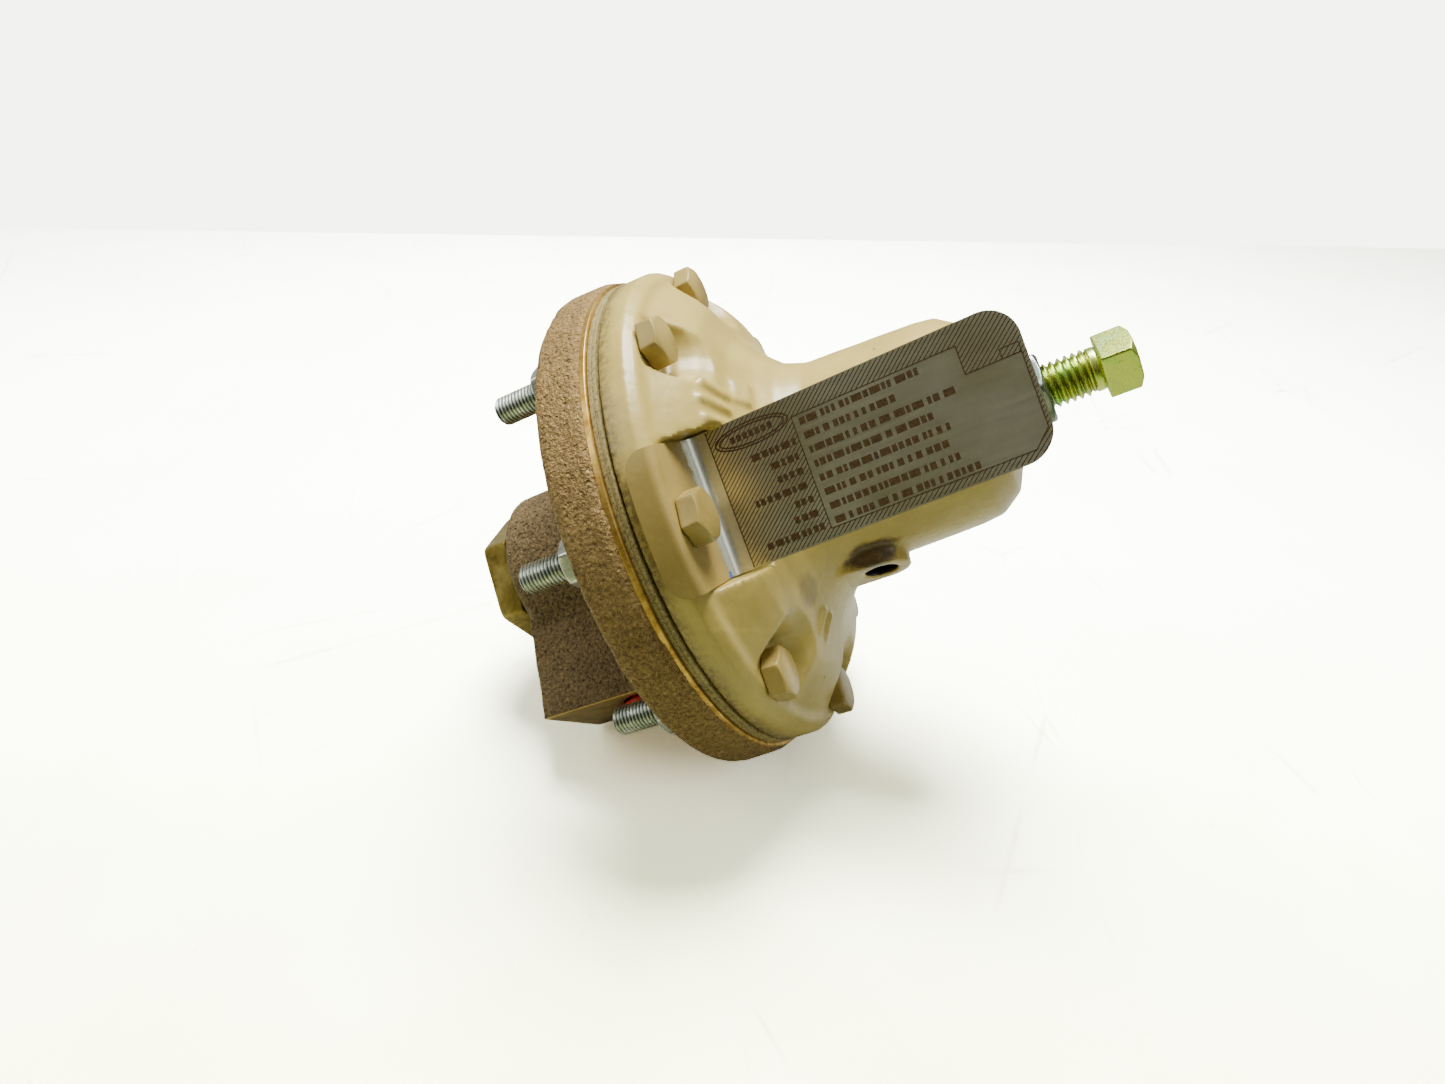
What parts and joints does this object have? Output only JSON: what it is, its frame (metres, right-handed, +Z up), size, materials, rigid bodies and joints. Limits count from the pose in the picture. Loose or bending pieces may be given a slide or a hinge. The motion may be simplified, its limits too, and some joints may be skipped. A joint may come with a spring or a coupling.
{
  "type": "pressure reducing valve",
  "caption": "Direct-acting diaphragm pressure reducing valve with bronze body, painted spring chamber, square-head adjusting screw and bent nameplate.",
  "frame": {"origin": "centre of the flat underside of the hexagonal body cap, on the valve axis", "axes": "+Z up along the valve axis towards the adjusting screw, +X along the pipe axis out of the near port, +Y across the pipe"},
  "size_m": [0.1484, 0.1484, 0.1953],
  "materials": {
    "bronze": "rough sand-cast bronze with machined joint edge and port faces",
    "brass": "turned brass, slightly dull",
    "paint": "tan gloss paint over a casting",
    "zinc": "clear zinc-plated steel",
    "yellow_zinc": "yellow zinc-plated steel",
    "stainless": "brushed stainless sheet",
    "steel": "plain machined steel",
    "spring_steel": "drawn spring wire",
    "gasket_sheet": "fibre gasket sheet",
    "rubber": "nitrile rubber",
    "red_plastic": "moulded polyethylene"
  },
  "bodies": {
    "housing": {"valve_body": "bronze", "body_cap": "brass", "cap_gasket": "steel", "diaphragm_gasket": "gasket_sheet", "diaphragm": "rubber", "spring_chamber": "paint", "seat_ring": "stainless", "piston_spring": "spring_steel", "range_spring": "spring_steel", "nameplate": "stainless", "flange_bolt_1": "paint", "flange_nut_1": "zinc", "flange_bolt_2": "paint", "flange_nut_2": "zinc", "flange_bolt_3": "paint", "flange_nut_3": "zinc", "flange_bolt_4": "paint", "flange_nut_4": "zinc", "flange_bolt_5": "paint", "flange_nut_5": "zinc", "flange_bolt_6": "paint", "flange_nut_6": "zinc", "flange_bolt_7": "paint", "flange_nut_7": "zinc", "flange_bolt_8": "paint", "flange_nut_8": "zinc"},
    "spring_button": {"spring_button": "steel"},
    "adjusting_screw": {"adjusting_screw": "yellow_zinc"},
    "lock_washer": {"lock_washer": "zinc"},
    "lock_nut": {"lock_nut": "zinc"},
    "stem": {"pressure_plate": "steel", "pusher_plate": "brass", "diaphragm_screw": "steel", "seat_disc": "rubber", "disc_retainer": "stainless", "valve_piston": "brass"},
    "near_plug": {"near_port_plug": "red_plastic"},
    "far_plug": {"far_port_plug": "red_plastic"}
  },
  "joints": [
    {"name": "screw_advance", "type": "slide", "parent": "housing", "child": "spring_button", "axis": [0, 0, 1], "range_m": [-0.00782, 0.00195], "deforming": ["range_spring"]},
    {"name": "screw_turn", "type": "hinge", "parent": "spring_button", "child": "adjusting_screw", "pos_m": [0, 0, 0.18], "axis": [0, 0, 1], "range_deg": [-1441, 361]},
    {"name": "washer_lift", "type": "slide", "parent": "housing", "child": "lock_washer", "axis": [0, 0, 1], "range_m": [0, 0.00293]},
    {"name": "lock_nut_turn", "type": "hinge", "parent": "lock_washer", "child": "lock_nut", "pos_m": [0, 0, 0.167], "axis": [0, 0, 1], "range_deg": [0, 541]},
    {"name": "valve_travel", "type": "slide", "parent": "housing", "child": "stem", "axis": [0, 0, 1], "range_m": [-0.0025, 0], "stiffness_N_per_m": 1500, "springref_m": 0.008, "deforming": ["piston_spring", "range_spring", "diaphragm"]},
    {"name": "near_plug_pull", "type": "slide", "parent": "housing", "child": "near_plug", "axis": [1, 0, 0], "range_m": [0, 0.03]},
    {"name": "far_plug_pull", "type": "slide", "parent": "housing", "child": "far_plug", "axis": [-1, 0, 0], "range_m": [0, 0.03]}
  ],
  "couplings": [
    {"joint": "screw_turn", "follows": "screw_advance", "rad_per_m": 3215.8},
    {"joint": "lock_nut_turn", "follows": "washer_lift", "rad_per_m": 3215.8}
  ]
}
